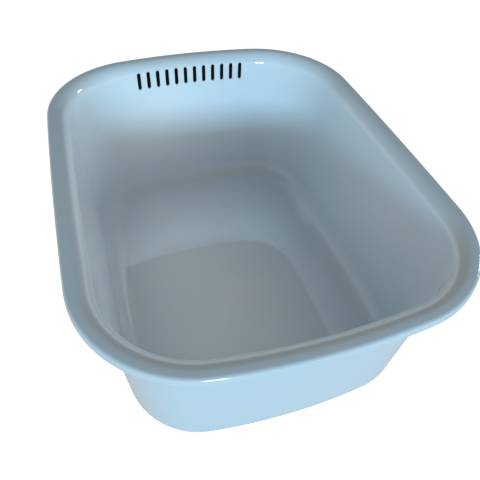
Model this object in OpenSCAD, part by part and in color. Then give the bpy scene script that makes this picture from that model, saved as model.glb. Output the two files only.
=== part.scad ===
// Washing up bowl: one thin moulded shell with bowed sides, large corner radii,
// a rolled rim with a turned-down lip, a low foot ring, and a row of drain slots
// in the end wall at +Y. Millimetres, +Z up, origin on the ground at the centre.

/* [Plan of the rim] */
// Overall length, along Y
length = 387; // [300:1:460]
// Overall width, along X
width = 303; // [240:1:340]
// How far the middle of a long side stands out beyond a straight side
side_bow = 4; // [1:0.5:8]
// How far the middle of an end stands out beyond a straight end
end_bow = 20.5; // [8:0.5:26]
// Radius of the four corners, on the outside of the lip
corner_r = 90; // [80:1:100]

/* [Wall] */
// Overall height
height = 158; // [110:1:200]
// Thickness of the moulding
wall = 2.2; // [1.8:0.1:2.4]
// Slope of the wall from upright, in degrees
draft = 4.3; // [3:0.1:7]
// Radius inside, between wall and floor
floor_r = 21; // [14:1:24]

/* [Rim] */
// How far the lip reaches down from the top of the rim
lip_drop = 7; // [6:0.5:14]
// Slope of the lip from upright, in degrees
lip_flare = 3; // [1:1:20]
// Radius of the rim's outer edge
edge_r = 2.6; // [2.4:0.1:4.5]
// Flat land on top of the rim
land = 3.2; // [0.5:0.1:6]
// Radius of the shoulder between the rim and the inside of the wall
shoulder_r = 12.8; // [8:0.1:14]

/* [Foot] */
// Height of the foot ring
foot_h = 1.6; // [1:0.1:3]
// Width of the foot ring
foot_w = 4; // [2:0.5:6]
// Distance of the foot ring inwards from where the floor turns flat
foot_gap = 3; // [1:0.5:6]

/* [Drain slots] */
// Number of slots
slots = 12; // [4:1:12]
// Distance between the middles of two slots
slot_pitch = 10.2; // [8:0.1:10.4]
// Width of a slot
slot_w = 4; // [2.5:0.1:5]
// Length of a slot along the wall, with its round ends
slot_len = 18.5; // [10:0.5:24]
// Height of the slots' middle below the top of the rim
slot_drop = 17; // [16:0.5:34]

/* [Gate mark] */
// Diameter of the shallow round mark in the middle of the floor
gate_d = 9; // [5:0.5:14]
// Depth of the mark
gate_depth = 0.4; // [0.2:0.1:0.8]

/* [Hidden] */
$fn = 48;
// Steps in each corner, each end and each side of the plan
corner_steps = 14;
end_steps = 6;
side_steps = 4;
// Steps in the wide bends and in the tight bends of the section
wide_steps = 6;
tight_steps = 4;

// Radius of an arc from half its chord and its rise
function arc_radius(half, rise) = (half * half + rise * rise) / (2 * rise);
side_r = arc_radius(length / 2, side_bow);
end_r = arc_radius(width / 2, end_bow);
side_x = width / 2 - side_r;
end_y = length / 2 - end_r;

// The corner arcs touch the side arc and the end arc, so their centre is where
// two circles about the centres of those arcs cross.
side_reach = side_r - corner_r;
end_reach = end_r - corner_r;
span = norm([side_x, end_y]);
along = (span * span + side_reach * side_reach - end_reach * end_reach) / (2 * span);
across = sqrt(side_reach * side_reach - along * along);
towards = [-side_x, end_y] / span;
corner = [side_x, 0] + along * towards + across * [-towards[1], towards[0]];
side_turn = atan2(corner[1], corner[0] - side_x);
end_turn = atan2(corner[0], corner[1] - end_y);

// The section of the shell: x outwards from the widest line of the lip, y upwards.
// The lip ends in a full round, and its slope is tangent to that and to the edge.
lip_out = [cos(lip_flare), sin(lip_flare)];
lip_c = [-wall / 2, height - lip_drop + wall / 2];
edge_y = height - edge_r;
edge_x = (lip_c * lip_out + wall / 2 - edge_r - edge_y * lip_out[1]) / lip_out[0];
edge_c = [edge_x, edge_y];
shoulder_c = [edge_c[0] - land, height - shoulder_r];
inwards = [-cos(draft), sin(draft)];
wall_top = shoulder_c + shoulder_r * inwards;
floor_c_y = foot_h + wall + floor_r;
floor_c_x = wall_top[0] + (sin(draft) * (floor_c_y - wall_top[1]) - floor_r) / cos(draft);
floor_c = [floor_c_x, floor_c_y];
foot_x = floor_c_x - foot_gap - foot_w / 2;
// The foot ring has sloping sides, so that it leaves the mould
foot_root = (foot_w + foot_h) / 2;

function arc(centre, radius, from, to, steps) = [
    for (k = [0 : steps])
        let (turn = from + (to - from) * k / steps)
            centre + radius * [cos(turn), sin(turn)]];

// The path of the section: from the inside of the floor up the wall, over the rim
// and round the lip, then back under the rim and down the outside to the foot
function section_path() = concat(
    arc(floor_c, floor_r, -90, -draft, wide_steps),
    arc(shoulder_c, shoulder_r, 180 - draft, 90, wide_steps),
    arc(edge_c, edge_r, 90, lip_flare, tight_steps),
    arc(lip_c, wall / 2, lip_flare, lip_flare - 180, tight_steps),
    arc(edge_c, edge_r - wall, lip_flare, 90, tight_steps),
    arc(shoulder_c, shoulder_r - wall, 90, 180 - draft, wide_steps),
    arc(floor_c, floor_r + wall, -draft, -90, wide_steps),
    [[foot_x + foot_root, foot_h], [foot_x + foot_w / 2, 0],
     [foot_x - foot_w / 2, 0], [foot_x - foot_root, foot_h]]);

// The plan at a distance x outwards from the widest line of the lip: eight arcs
// that keep their centres, so every ring of the shell runs parallel to the rim
function plan_arc(centre, radius, from, to, steps, x) = [
    for (k = [0 : steps - 1])
        let (turn = from + (to - from) * k / steps)
            centre + (radius + x) * [cos(turn), sin(turn)]];
function plan(x) = [
    for (i = [0, 1])
        let (s = 1 - 2 * i, t = 180 * i)
            each concat(
                plan_arc([s * side_x, 0], side_r, t - side_turn, t + side_turn, side_steps, x),
                plan_arc(s * corner, corner_r, t + side_turn, t + 90 - end_turn, corner_steps, x),
                plan_arc([0, s * end_y], end_r, t + 90 - end_turn, t + 90 + end_turn, end_steps, x),
                plan_arc(s * [-corner[0], corner[1]], corner_r,
                         t + 90 + end_turn, t + 180 - side_turn, corner_steps, x))];

module shell() {
    path = section_path();
    rings = len(path);
    around = len(plan(0));
    points = [for (p = path) each [for (q = plan(p[0])) [q[0], q[1], p[1]]]];
    skin = [
        for (i = [0 : rings - 2])
            for (j = [0 : around - 1])
                let (next = (j + 1) % around)
                    [i * around + j, i * around + next, (i + 1) * around + next, (i + 1) * around + j]];
    floor_top = [for (j = [around - 1 : -1 : 0]) j];
    floor_under = [for (j = [0 : around - 1]) (rings - 1) * around + j];
    polyhedron(points, concat(skin, [floor_top, floor_under]));
}
module slot_outline() {
    straight = slot_len - slot_w;
    square([slot_w, straight], center = true);
    for (end = [-1, 1])
        translate([0, end * straight / 2])
            circle(slot_w / 2);
}
// The slots stop in the channel behind the lip, halfway between wall and lip
module drain_slots() {
    slot_from = wall_top[0] - (slot_drop + slot_len) * tan(draft) - end_bow / 2;
    slot_to = (edge_c[0] + wall_top[0] + wall) / 2;
    for (i = [0 : slots - 1])
        translate([(i - (slots - 1) / 2) * slot_pitch, length / 2 + slot_to, height - slot_drop])
            rotate([90, 0, 0])
                linear_extrude(slot_to - slot_from)
                    slot_outline();
}
module gate_mark() {
    translate([0, 0, foot_h + wall - gate_depth])
        cylinder(d = gate_d, h = wall);
}
module bowl() {
    color([0.70, 0.85, 0.94])
        difference() {
            shell();
            drain_slots();
            gate_mark();
        }
}

bowl();
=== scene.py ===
from math import asin, atan2, cos, pi, radians, sin, sqrt, tan

import bpy
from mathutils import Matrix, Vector


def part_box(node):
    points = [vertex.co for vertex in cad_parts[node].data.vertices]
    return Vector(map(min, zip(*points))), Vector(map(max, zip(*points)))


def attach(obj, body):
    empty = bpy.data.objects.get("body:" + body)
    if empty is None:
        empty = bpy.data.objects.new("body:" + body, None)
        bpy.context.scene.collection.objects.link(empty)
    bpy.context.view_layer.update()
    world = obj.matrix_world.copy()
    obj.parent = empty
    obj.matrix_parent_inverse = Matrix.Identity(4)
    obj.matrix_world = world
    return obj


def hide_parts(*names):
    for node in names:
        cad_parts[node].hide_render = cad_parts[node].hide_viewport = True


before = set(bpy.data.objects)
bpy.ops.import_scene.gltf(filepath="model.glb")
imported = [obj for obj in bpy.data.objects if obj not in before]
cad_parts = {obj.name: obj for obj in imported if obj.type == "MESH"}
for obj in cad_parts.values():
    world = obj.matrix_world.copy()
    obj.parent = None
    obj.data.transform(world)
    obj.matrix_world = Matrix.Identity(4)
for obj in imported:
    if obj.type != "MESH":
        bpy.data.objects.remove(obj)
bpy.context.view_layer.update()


# The shell
# The basin is one thin moulding of pale blue polypropylene, about 2.2 mm thick
# all over. Its section is drawn once, on the middle of the right-hand side, and
# swept round the plan, whose eight arcs keep their centres at every height.
half_width, half_length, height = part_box("bowl")[1]

# The section of the wall, the rim and the foot ring
wall = 0.0022
draft = radians(4.3)
floor_r = 0.021
shoulder_r = 0.0128
land = 0.0032
edge_r = 0.0026
lip_drop = 0.007
lip_flare = radians(3)
bead_r = wall / 2
foot_h = 0.0016
foot_w = 0.004
foot_gap = 0.003
flat_margin = 0.008

# The plan of the rim
side_bow = 0.004
end_bow = 0.0205
corner_r = 0.09

side_r = (half_length ** 2 + side_bow ** 2) / (2 * side_bow)
end_r = (half_width ** 2 + end_bow ** 2) / (2 * end_bow)
side_centre = Vector((half_width - side_r, 0, 0))
end_centre = Vector((0, half_length - end_r, 0))

# A corner arc touches a side arc and an end arc, so its centre is where two
# circles about the centres of those arcs cross
reach_side = side_r - corner_r
reach_end = end_r - corner_r
between = end_centre - side_centre
span = between.length
along = (span ** 2 + reach_side ** 2 - reach_end ** 2) / (2 * span)
across = sqrt(reach_side ** 2 - along ** 2)
towards = between.normalized()
corner_centre = side_centre + along * towards + across * Vector((-towards.y, towards.x, 0))
side_turn = atan2(corner_centre.y, corner_centre.x - side_centre.x)
end_turn = atan2(corner_centre.x, corner_centre.y - end_centre.y)
corner_turn = pi / 2 - side_turn - end_turn

# How finely each stretch is drawn
floor_steps = 6
fillet_steps = 16
wall_steps = 20
shoulder_steps = 14
edge_steps = 8
lip_steps = 3
bead_steps = 10
under_edge_steps = 6
under_shoulder_steps = 12
foot_steps = 2
side_steps = 12
corner_steps = 24
end_steps = 20
start_size = 0.01
weld = 0.00002
crease = radians(32)
up = Vector((0, 0, 1))


def only(thing):
    """Leaves thing selected and active, and everything else unselected."""
    bpy.ops.object.select_all(action="DESELECT")
    thing.select_set(True)
    bpy.context.view_layer.objects.active = thing


def start_point(name, place):
    """Starts a piece as a single point, selected and open to editing."""
    bpy.ops.object.select_all(action="DESELECT")
    bpy.ops.mesh.primitive_plane_add(size=start_size, location=place)
    piece = bpy.context.object
    piece.name = name
    bpy.ops.object.transform_apply(location=True, rotation=True, scale=True)
    bpy.ops.object.mode_set(mode="EDIT")
    bpy.ops.mesh.select_mode(type="VERT")
    bpy.ops.mesh.select_all(action="SELECT")
    bpy.ops.mesh.merge(type="CENTER")
    return piece


def pull(step):
    """Extrudes the selection by a step."""
    bpy.ops.mesh.extrude_region_move(TRANSFORM_OT_translate={"value": step})


def straight(start, end, lengths=1):
    """Draws a straight stretch of the section, in so many lengths."""
    for length in range(lengths):
        pull((end - start) / lengths)
    return end


def bend(point, centre, turn, steps):
    """Draws a round stretch of the section about a centre."""
    bpy.ops.mesh.spin(steps=steps, angle=-turn, center=centre, axis=(0, 1, 0))
    arm = point - centre
    out = arm.x * cos(turn) + arm.z * sin(turn)
    rise = arm.z * cos(turn) - arm.x * sin(turn)
    return centre + Vector((out, 0, rise))


def sweep(centre, turn, steps):
    """Sweeps what is selected about an upright axis."""
    bpy.ops.mesh.spin(steps=steps, angle=-turn, center=centre, axis=(0, 0, 1))


def turned(centre):
    """The same centre on the far side of the basin."""
    return Vector((-centre.x, -centre.y, 0))


bead = Vector((half_width - bead_r, 0, height - lip_drop + bead_r))
lip_out = Vector((cos(lip_flare), 0, sin(lip_flare)))
edge_z = height - edge_r
edge_x = (bead.dot(lip_out) + bead_r - edge_r - edge_z * lip_out.z) / lip_out.x
edge = Vector((edge_x, 0, edge_z))
shoulder = Vector((edge.x - land, 0, height - shoulder_r))
inward = Vector((-cos(draft), 0, sin(draft)))
wall_top = shoulder + shoulder_r * inward
fillet_z = foot_h + wall + floor_r
fillet_x = wall_top.x + (sin(draft) * (fillet_z - wall_top.z) - floor_r) / cos(draft)
fillet = Vector((fillet_x, 0, fillet_z))
foot_x = fillet_x - foot_gap - foot_w / 2
foot_root = (foot_w + foot_h) / 2
middle_x = foot_x - flat_margin

# Up the inside of the wall, over the rim and round the lip, then back underneath
floor_line = Vector((middle_x, 0, fillet_z - floor_r))
bowl = start_point("bowl_shell", floor_line)
at = straight(floor_line, fillet - floor_r * up, floor_steps)
at = bend(at, fillet, -(pi / 2 - draft), fillet_steps)
at = straight(at, wall_top, wall_steps)
at = bend(at, shoulder, pi / 2 - draft, shoulder_steps)
at = straight(at, edge + edge_r * up)
at = bend(at, edge, pi / 2 - lip_flare, edge_steps)
at = straight(at, bead + bead_r * lip_out, lip_steps)
at = bend(at, bead, pi, bead_steps)
at = straight(at, edge + (edge_r - wall) * lip_out, lip_steps)
at = bend(at, edge, -(pi / 2 - lip_flare), under_edge_steps)
at = straight(at, shoulder + (shoulder_r - wall) * up)
at = bend(at, shoulder, -(pi / 2 - draft), under_shoulder_steps)
at = straight(at, fillet - (floor_r + wall) * inward, wall_steps)
at = bend(at, fillet, pi / 2 - draft, fillet_steps)
at = straight(at, Vector((foot_x + foot_root, 0, foot_h)), foot_steps)
at = straight(at, Vector((foot_x + foot_w / 2, 0, 0)))
at = straight(at, Vector((foot_x - foot_w / 2, 0, 0)))
at = straight(at, Vector((foot_x - foot_root, 0, foot_h)))
straight(at, Vector((middle_x, 0, foot_h)), foot_steps)

mirrored_corner = Vector((-corner_centre.x, corner_centre.y, 0))
bpy.ops.mesh.select_all(action="SELECT")
sweep(side_centre, side_turn, side_steps // 2)
sweep(corner_centre, corner_turn, corner_steps)
sweep(end_centre, 2 * end_turn, end_steps)
sweep(mirrored_corner, corner_turn, corner_steps)
sweep(turned(side_centre), 2 * side_turn, side_steps)
sweep(turned(corner_centre), corner_turn, corner_steps)
sweep(turned(end_centre), 2 * end_turn, end_steps)
sweep(turned(mirrored_corner), corner_turn, corner_steps)
sweep(side_centre, side_turn, side_steps // 2)
bpy.ops.mesh.select_all(action="SELECT")
bpy.ops.mesh.remove_doubles(threshold=weld)
bpy.ops.mesh.fill_holes(sides=0)
bpy.ops.mesh.select_all(action="SELECT")
bpy.ops.mesh.normals_make_consistent(inside=False)
bpy.ops.object.mode_set(mode="OBJECT")


# The drain slots
# Twelve upright slots with round ends are cored through the end wall, just under
# the shoulder. Each core is a round pin with a small radius at both mouths, pulled
# out to the slot's length and set square to the wall.
slots = 12
slot_pitch = 0.0102
slot_w = 0.004
slot_len = 0.0185
slot_drop = 0.017
slot_sides = 32
slot_mouth_r = 0.0004
mouth_turn = radians(75)
mouth_steps = 3
clear = 0.002
facing = 0.9


def pick(kind, test):
    """Selects the parts of the mesh being edited that pass a test, and nothing else."""
    bpy.ops.mesh.select_all(action="DESELECT")
    bpy.ops.object.mode_set(mode="OBJECT")
    for part in getattr(bpy.context.object.data, kind):
        part.select = test(part)
    bpy.ops.object.mode_set(mode="EDIT")


def flare(end, radius, mouth_r):
    """Rounds out one end of a core, which stands on its own axis, and runs it on."""
    pick("polygons", lambda face: face.normal.z * end > facing)
    rise, reach = 0, radius
    for k in range(1, mouth_steps + 1):
        turn = mouth_turn * k / mouth_steps
        wider = radius + mouth_r * (1 - cos(turn))
        higher = mouth_r * sin(turn)
        pull((0, 0, end * (higher - rise)))
        growth = wider / reach
        bpy.ops.transform.resize(value=(growth, growth, 1), center_override=(0, 0, 0))
        rise, reach = higher, wider
    pull((0, 0, end * clear))


def core(name, radius, depth, around):
    """A plain round core at the origin, upright and open to editing."""
    bpy.ops.object.select_all(action="DESELECT")
    bpy.ops.mesh.primitive_cylinder_add(vertices=around, radius=radius, depth=depth)
    pin = bpy.context.object
    pin.name = name
    bpy.ops.object.mode_set(mode="EDIT")
    bpy.ops.mesh.select_all(action="SELECT")
    bpy.ops.transform.rotate(value=pi / around, orient_axis="Z", center_override=(0, 0, 0))
    bpy.ops.mesh.select_mode(type="FACE")
    return pin


def cut(thing, cutter):
    """Takes the cutter out of the thing, and removes the cutter."""
    only(thing)
    taken = thing.modifiers.new("cut", "BOOLEAN")
    taken.operation = "DIFFERENCE"
    taken.solver = "EXACT"
    taken.object = cutter
    bpy.ops.object.modifier_apply(modifier=taken.name)
    bpy.data.objects.remove(cutter)


pin = core("slot_core", slot_w / 2, wall - 2 * slot_mouth_r, slot_sides)
flare(1, slot_w / 2, slot_mouth_r)
flare(-1, slot_w / 2, slot_mouth_r)
bpy.ops.mesh.select_mode(type="VERT")
for side in (1, -1):
    pick("vertices", lambda point: point.co.y * side > 0)
    bpy.ops.transform.translate(value=(0, side * (slot_len - slot_w) / 2, 0))
bpy.ops.mesh.select_all(action="SELECT")
bpy.ops.mesh.normals_make_consistent(inside=False)
bpy.ops.object.mode_set(mode="OBJECT")

slot_z = height - slot_drop
wall_reach = end_r + wall_top.x - half_width
slot_reach = wall_reach - (wall_top.z - slot_z) * tan(draft) + wall / 2
pins = []
for i in range(slots):
    slot_turn = asin((i - (slots - 1) / 2) * slot_pitch / slot_reach)
    each = pin.copy()
    each.data = pin.data.copy()
    bpy.context.collection.objects.link(each)
    each.rotation_euler = (-(pi / 2 + draft), 0, -slot_turn)
    on_wall = Vector((slot_reach * sin(slot_turn), slot_reach * cos(slot_turn), slot_z))
    each.location = end_centre + on_wall
    pins.append(each)
bpy.data.objects.remove(pin)
only(pins[0])
for each in pins:
    each.select_set(True)
bpy.ops.object.join()
bpy.ops.object.transform_apply(location=True, rotation=True, scale=True)
cut(bowl, pins[0])


# The gate mark
# A shallow round recess in the middle of the floor hides the point where the
# plastic entered the mould.
gate_d = 0.009
gate_depth = 0.0004
gate_sides = 64
gate_mouth_r = 0.0003
gate_wall = gate_depth - gate_mouth_r

gate = core("gate_core", gate_d / 2, gate_wall, gate_sides)
flare(1, gate_d / 2, gate_mouth_r)
bpy.ops.object.mode_set(mode="OBJECT")
gate.location = (0, 0, foot_h + wall - gate_depth + gate_wall / 2)
only(gate)
bpy.ops.object.transform_apply(location=True, rotation=True, scale=True)
cut(bowl, gate)

only(bowl)
bpy.ops.object.shade_smooth_by_angle(angle=crease)


# The plastic
# Polypropylene coloured through in a pale, slightly cool blue, with the even gloss
# that a polished mould leaves. Washing up has dulled the floor and the crest of the
# rim a little, and left hairline scuffs there.
pale_blue = (0.466, 0.666, 0.812, 1)
deep_blue = (0.446, 0.650, 0.802, 1)
rubbed_blue = (0.520, 0.690, 0.800, 1)
drift_range = (0.35, 0.65)
patch_range = (0.4, 0.75)
rubbed_share = 0.2
floor_rub = (0.014, 0.004)
crest_rub = (height - 0.0035, height - 0.0002)
even_roughness = 0.025
drift_roughness = 0.015
dull_roughness = 0.02
scuff_roughness = 0.12
scuff_edge = 0.04
peel_depth = 0.000004
ripple_depth = 0.00025
gloss_ior = 1.8


def bare_tree(thing):
    """Gives a material or a world an empty node tree."""
    thing.use_nodes = True
    thing.node_tree.nodes.clear()
    return thing.node_tree


def add(tree, kind, **settings):
    """Adds a node and gives its properties and its inputs their values."""
    node = tree.nodes.new(kind)
    for name, value in settings.items():
        if name in node.inputs:
            node.inputs[name].default_value = value
        elif name.replace("_", " ") in node.inputs:
            node.inputs[name.replace("_", " ")].default_value = value
        else:
            setattr(node, name, value)
    return node


def math_node(tree, kind, first, second):
    """The result of a sum on two values, each of them a socket or a number."""
    node = add(tree, "ShaderNodeMath", operation=kind)
    for socket, value in zip(node.inputs, (first, second)):
        if isinstance(value, (int, float)):
            socket.default_value = value
        else:
            tree.links.new(value, socket)
    return node.outputs[0]


def spread(tree, value, low, high, **settings):
    """Turns low into 0 and high into 1, or into To_Min and To_Max if these are given."""
    node = add(tree, "ShaderNodeMapRange", From_Min=low, From_Max=high, **settings)
    tree.links.new(value, node.inputs["Value"])
    return node.outputs["Result"]


def show(tree, surface, kind="ShaderNodeOutputMaterial"):
    """Makes a shader the surface of a material or a world."""
    output = add(tree, kind)
    tree.links.new(surface, output.inputs["Surface"])


plastic = bpy.data.materials.new("pale_blue_polypropylene")
tree = bare_tree(plastic)
link = tree.links.new
place = add(tree, "ShaderNodeTexCoord").outputs["Object"]


def noise(**settings):
    """Noise that sits still on the basin."""
    node = add(tree, "ShaderNodeTexNoise", **settings)
    link(place, node.inputs["Vector"])
    return node.outputs["Fac"]


def scuffs(turn, width, length, share):
    """Hairlines that all run one way, as a mask."""
    lay = add(tree, "ShaderNodeMapping", Rotation=(0, 0, turn))
    lay.inputs["Scale"].default_value = (1 / width, 1 / length, 1 / length)
    link(place, lay.inputs["Vector"])
    lines = add(tree, "ShaderNodeTexNoise", Scale=1.0, Detail=0.0)
    link(lay.outputs["Vector"], lines.inputs["Vector"])
    return spread(tree, lines.outputs["Fac"], share, share + scuff_edge)


# Slow drift of the colour, as the melt cooled
drift = spread(tree, noise(Scale=7.0, Detail=2.0, Roughness=0.5), *drift_range)
body_colour = add(tree, "ShaderNodeMix", data_type="RGBA")
body_colour.inputs["A"].default_value = deep_blue
body_colour.inputs["B"].default_value = pale_blue
link(drift, body_colour.inputs["Factor"])

# Where the surface rubs: on the floor and the foot ring, and along the rim's crest
place_parts = add(tree, "ShaderNodeSeparateXYZ")
link(place, place_parts.inputs[0])
at_height = place_parts.outputs["Z"]
rubbed_low = spread(tree, at_height, *floor_rub, interpolation_type="SMOOTHSTEP")
rubbed_high = spread(tree, at_height, *crest_rub, interpolation_type="SMOOTHSTEP")
rubbed = math_node(tree, "MAXIMUM", rubbed_low, rubbed_high)

# It is dulled there in patches, and scuffed with hairlines in three directions
patches = spread(tree, noise(Scale=22.0, Detail=3.0, Roughness=0.6), *patch_range)
dulled = math_node(tree, "MULTIPLY", rubbed, patches)
lengthwise = scuffs(turn=0.4, width=0.0009, length=0.05, share=0.74)
slanting = scuffs(turn=-1.1, width=0.0008, length=0.04, share=0.75)
crosswise = scuffs(turn=1.9, width=0.001, length=0.06, share=0.75)
crossing = math_node(tree, "MAXIMUM", math_node(tree, "MAXIMUM", lengthwise, slanting), crosswise)
scuffed = math_node(tree, "MULTIPLY", crossing, rubbed)

worn_colour = add(tree, "ShaderNodeMix", data_type="RGBA")
worn_colour.inputs["B"].default_value = rubbed_blue
link(body_colour.outputs["Result"], worn_colour.inputs["A"])
wear = math_node(tree, "MULTIPLY", math_node(tree, "MAXIMUM", dulled, scuffed), rubbed_share)
link(wear, worn_colour.inputs["Factor"])

polish = math_node(tree, "MULTIPLY", drift, drift_roughness)
polish = math_node(tree, "ADD", polish, even_roughness)
for mask, roughness in ((dulled, dull_roughness), (scuffed, scuff_roughness)):
    polish = math_node(tree, "ADD", polish, math_node(tree, "MULTIPLY", mask, roughness))

# The mould's polish leaves a faint orange peel, and the thin walls ripple a little
peel = add(tree, "ShaderNodeBump", Strength=1.0, Distance=peel_depth)
link(noise(Scale=420.0, Detail=1.0), peel.inputs["Height"])
ripple = add(tree, "ShaderNodeBump", Strength=1.0, Distance=ripple_depth)
link(noise(Scale=13.0, Detail=1.0), ripple.inputs["Height"])
link(peel.outputs["Normal"], ripple.inputs["Normal"])

shader = add(tree, "ShaderNodeBsdfPrincipled", IOR=gloss_ior)
link(worn_colour.outputs["Result"], shader.inputs["Base Color"])
link(polish, shader.inputs["Roughness"])
link(ripple.outputs["Normal"], shader.inputs["Normal"])
show(tree, shader.outputs["BSDF"])
bowl.data.materials.clear()
bowl.data.materials.append(plastic)

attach(bowl, "root")
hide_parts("bowl")


# The floor
# A plain pale floor, with the shadow that the basin casts left on it. It glows white
# for the camera, and at less than half that for the plastic's gloss.
floor_radius = 6
floor_sides = 64
floor_grey = (0.55, 0.55, 0.55, 1)
floor_lift = 0.85
floor_gloss = 0.4

bpy.ops.object.select_all(action="DESELECT")
bpy.ops.mesh.primitive_circle_add(vertices=floor_sides, radius=floor_radius, fill_type="NGON")
ground = bpy.context.object
ground.name = "floor"
paper = bpy.data.materials.new("pale_floor")
tree = bare_tree(paper)
link = tree.links.new
path = add(tree, "ShaderNodeLightPath").outputs
seen = math_node(tree, "MAXIMUM", path["Is Camera Ray"], path["Is Transmission Ray"])
in_gloss = math_node(tree, "MULTIPLY", path["Is Glossy Ray"], floor_gloss)
lift = math_node(tree, "MULTIPLY", math_node(tree, "MAXIMUM", seen, in_gloss), floor_lift)
shadowed = add(tree, "ShaderNodeBsdfDiffuse", Color=floor_grey)
glow = add(tree, "ShaderNodeEmission")
link(lift, glow.inputs["Strength"])
both = add(tree, "ShaderNodeAddShader")
link(shadowed.outputs[0], both.inputs[0])
link(glow.outputs[0], both.inputs[1])
show(tree, both.outputs[0])
ground.data.materials.append(paper)


# The card, painted shade behind the drain slots
# A strip of black card stands close against the outside of the wall behind the drain
# slots, and follows its bow and slope, so that the slots read dark from inside. It is
# painted shade, standing in for the shade behind the wall. Its back is clear, and neither
# the gloss nor the shadows show it.
card_below = 0.0105
card_tall = 0.0215
card_gap = 0.0004
card_steps = 16
painted_shade_black = (0.004, 0.004, 0.004, 1)
card_reach = slot_reach + wall / 2 + card_gap - card_below * tan(draft)
card_turn = asin(slots * slot_pitch / 2 / card_reach)
card_out = Vector((sin(card_turn), cos(card_turn), 0))
card_foot = Vector((0, 0, slot_z - card_below))

card = start_point("painted_shade_card", end_centre + card_foot + card_reach * card_out)
pull(card_tall * (card_out * tan(draft) + up))
bpy.ops.mesh.select_all(action="SELECT")
sweep(end_centre, 2 * card_turn, card_steps)
bpy.ops.object.mode_set(mode="OBJECT")


def mixed(tree, share, first, second):
    """A mix of two shaders: the first where the share is 0, the second where it is 1."""
    mix = add(tree, "ShaderNodeMixShader")
    for socket, value in zip(mix.inputs, (share, first, second)):
        tree.links.new(value, socket)
    return mix.outputs[0]


# Painted shade: dead black on the side towards the slots, clear from behind
black = bpy.data.materials.new("painted_shade_card")
tree = bare_tree(black)
front = add(tree, "ShaderNodeBsdfDiffuse", Color=painted_shade_black)
clear_back = add(tree, "ShaderNodeBsdfTransparent")
side = add(tree, "ShaderNodeNewGeometry")
show(tree, mixed(tree, side.outputs["Backfacing"], front.outputs[0], clear_back.outputs[0]))
card.data.materials.append(black)
card.visible_diffuse = False
card.visible_glossy = False
card.visible_shadow = False


# The light
# A window stands low in front of the basin, a little to the left, and a wide soft lamp
# beside it adds light without a second highlight. A smaller window stands on the right,
# and three small lamps fill the basin from within. The room is brightest at the horizon.
white = (1, 1, 1, 1)
room_colour = (1.0, 0.79, 0.67, 1)
room_low = 1.1
room_high = 0.28
room_fade = 0.7
gloss_low = 1.0
gloss_high = 0.0
gloss_fade = 0.35
window_far = 8
window_aim = Vector((0, 0, 0.12))
window_colour = (0.64, 0.88, 1.0)
front_power = 290
cloth_power = 180
side_power = 60
inner_colour = (1.0, 0.66, 0.47)
inner_power = 0.084
inner_size = 0.03
inner_x = -0.04
inner_gap = 0.09
inner_z = 0.115

world = bpy.data.worlds.new("room")
bpy.context.scene.world = world
tree = bare_tree(world)
link = tree.links.new
direction = add(tree, "ShaderNodeSeparateXYZ")
link(add(tree, "ShaderNodeTexCoord").outputs["Generated"], direction.inputs[0])
rise = direction.outputs["Z"]

# The camera sees white all round. The gloss sees white at the horizon and dark overhead
fill = add(tree, "ShaderNodeBackground", Color=room_colour)
fill_level = spread(tree, rise, 0, room_fade, To_Min=room_low, To_Max=room_high)
link(fill_level, fill.inputs["Strength"])
gloss = add(tree, "ShaderNodeBackground", Color=white)
gloss_level = spread(tree, rise, 0, gloss_fade, To_Min=gloss_low, To_Max=gloss_high)
link(gloss_level, gloss.inputs["Strength"])
backdrop = add(tree, "ShaderNodeBackground", Color=white, Strength=1.0)
path = add(tree, "ShaderNodeLightPath").outputs
seen = math_node(tree, "MAXIMUM", path["Is Camera Ray"], path["Is Transmission Ray"])
room = mixed(tree, path["Is Glossy Ray"], fill.outputs[0], gloss.outputs[0])
show(tree, mixed(tree, seen, room, backdrop.outputs[0]), "ShaderNodeOutputWorld")


def hang(name, kind, colour, power):
    """Adds a lamp at the origin."""
    data = bpy.data.lights.new(name, kind)
    data.color = colour
    data.energy = power
    lamp = bpy.data.objects.new(name, data)
    bpy.context.collection.objects.link(lamp)
    return lamp


def window(name, turn, rise, width, tall, power):
    """A far, soft, window-like lamp. Turn is from -Y towards -X, in degrees."""
    lamp = hang(name, "AREA", window_colour, power)
    lamp.data.shape = "RECTANGLE"
    lamp.data.size = width
    lamp.data.size_y = tall
    turn, rise = radians(turn), radians(rise)
    away = Vector((-sin(turn) * cos(rise), -cos(turn) * cos(rise), sin(rise)))
    lamp.location = window_aim + window_far * away
    lamp.rotation_euler = (-away).to_track_quat("-Z", "Y").to_euler()
    return lamp


window("front_window", turn=7, rise=11.5, width=1.6, tall=0.9, power=front_power)
cloth = window("front_cloth", turn=22, rise=11.5, width=2.6, tall=1.1, power=cloth_power)
cloth.visible_glossy = False
window("side_window", turn=-100, rise=25, width=1.2, tall=1.0, power=side_power)

for k in (-1, 0, 1):
    lamp = hang("inner_lamp", "POINT", inner_colour, inner_power)
    lamp.data.shadow_soft_size = inner_size
    lamp.location = (inner_x, inner_gap * k, inner_z)
    lamp.visible_camera = False
    lamp.visible_glossy = False


# The camera
# It looks down into the basin from above its near left-hand side, and stands as the
# rim, the base and the drain slots of the photograph place it.
camera_data = bpy.data.cameras.new("camera")
camera_data.lens = 36.413
camera_data.sensor_width = 36
camera = bpy.data.objects.new("camera", camera_data)
bpy.context.collection.objects.link(camera)
camera.location = (-0.11041, -0.31032, 0.41006)
camera.rotation_euler = (radians(42.935), radians(-2.752), radians(-17.641))
bpy.context.scene.camera = camera
bpy.context.scene.view_settings.view_transform = "Standard"
